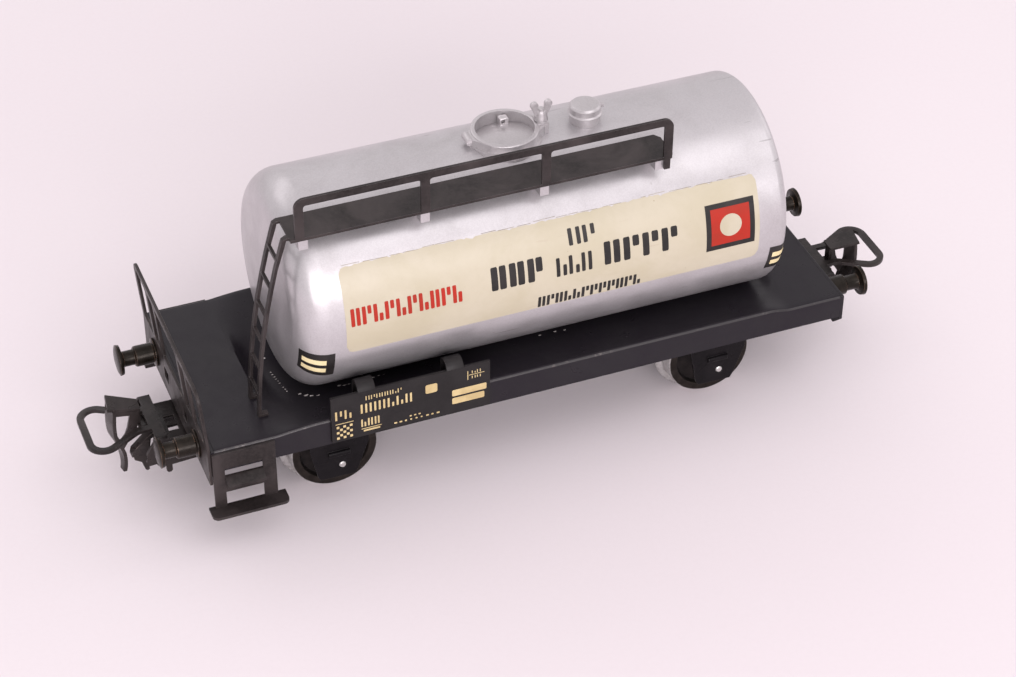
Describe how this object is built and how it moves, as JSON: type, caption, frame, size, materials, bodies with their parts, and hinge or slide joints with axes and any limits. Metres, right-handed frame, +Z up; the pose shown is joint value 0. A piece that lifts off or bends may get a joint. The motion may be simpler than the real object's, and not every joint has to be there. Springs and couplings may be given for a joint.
{
  "type": "model tank wagon",
  "caption": "Small-scale railway tank wagon with a cylindrical tank on a pressed deck, ladder, railed walkway, turning wheelsets and swinging lift-loop couplers.",
  "frame": {"origin": "middle of the wagon in plan, on the plane that the wheel flanges stand on", "axes": "+X along the wagon, from the ladder end to the plain end; +Y to the side without the walkway; +Z up"},
  "size_m": [0.1146, 0.0352, 0.0478],
  "materials": {
    "tank_silver": "satin aluminium-silver lacquer",
    "fitting_silver": "satin silver",
    "frame_black": "satin black enamel",
    "stamping_blackened": "chemically blackened sheet, slightly brown",
    "board_black": "satin black with gold and cream blocks",
    "buffer_gunmetal": "burnished gunmetal with coppery edges",
    "steel_plated": "bright zinc",
    "wheel_nickel": "turned nickel with blackened web",
    "coupler_burnished": "blackened sheet worn to brown"
  },
  "bodies": {
    "chassis": {"underframe": "frame_black", "end_railing": "stamping_blackened", "tank_barrel": "tank_silver", "tank_end_cap": "tank_silver", "tank_screws": "steel_plated", "manhole_collar": "fitting_silver", "manhole_lid": "fitting_silver", "wing_nut": "fitting_silver", "filler_cap": "fitting_silver", "walkway": "stamping_blackened", "step_near": "stamping_blackened", "step_far": "stamping_blackened", "name_board_near": "board_black", "name_board_far": "board_black", "headstock_left": "frame_black", "headstock_right": "frame_black", "drawbar_bracket_left": "frame_black", "drawbar_bracket_right": "frame_black", "pivot_rivet_left": "steel_plated", "pivot_rivet_right": "steel_plated", "axle_guard_left_near": "frame_black", "axle_guard_left_far": "frame_black", "axle_guard_right_near": "frame_black", "axle_guard_right_far": "frame_black", "buffer_left_near": "buffer_gunmetal", "buffer_left_far": "buffer_gunmetal", "buffer_right_near": "buffer_gunmetal", "buffer_right_far": "buffer_gunmetal"},
    "wheelset_left": {"axle_left": "steel_plated", "wheel_left_near": "wheel_nickel", "wheel_left_far": "wheel_nickel"},
    "wheelset_right": {"axle_right": "steel_plated", "wheel_right_near": "wheel_nickel", "wheel_right_far": "wheel_nickel"},
    "coupler_left": {"coupler_shank_left": "coupler_burnished", "coupler_hook_left": "coupler_burnished", "hook_rivet_left": "steel_plated", "bail_pin_left": "steel_plated"},
    "bail_left": {"coupler_bail_left": "coupler_burnished"},
    "coupler_right": {"coupler_shank_right": "coupler_burnished", "coupler_hook_right": "coupler_burnished", "hook_rivet_right": "steel_plated", "bail_pin_right": "steel_plated"},
    "bail_right": {"coupler_bail_right": "coupler_burnished"}
  },
  "joints": [
    {"name": "wheelset_left_spin", "type": "hinge", "parent": "chassis", "child": "wheelset_left", "pos_m": [-0.02675, 0, 0.00685], "axis": [0, 1, 0], "continuous": true},
    {"name": "wheelset_right_spin", "type": "hinge", "parent": "chassis", "child": "wheelset_right", "pos_m": [0.02675, 0, 0.00685], "axis": [0, 1, 0], "continuous": true},
    {"name": "coupler_left_swing", "type": "hinge", "parent": "chassis", "child": "coupler_left", "pos_m": [-0.0392, 0, 0.0092], "axis": [0, 0, 1], "range_deg": [-12, 12]},
    {"name": "bail_left_lift", "type": "hinge", "parent": "coupler_left", "child": "bail_left", "pos_m": [-0.0479, 0, 0.00843], "axis": [0, 1, 0], "range_deg": [0, 25]},
    {"name": "coupler_right_swing", "type": "hinge", "parent": "chassis", "child": "coupler_right", "pos_m": [0.0392, 0, 0.0092], "axis": [0, 0, 1], "range_deg": [-12, 12]},
    {"name": "bail_right_lift", "type": "hinge", "parent": "coupler_right", "child": "bail_right", "pos_m": [0.0479, 0, 0.00843], "axis": [0, -1, 0], "range_deg": [0, 25]}
  ]
}
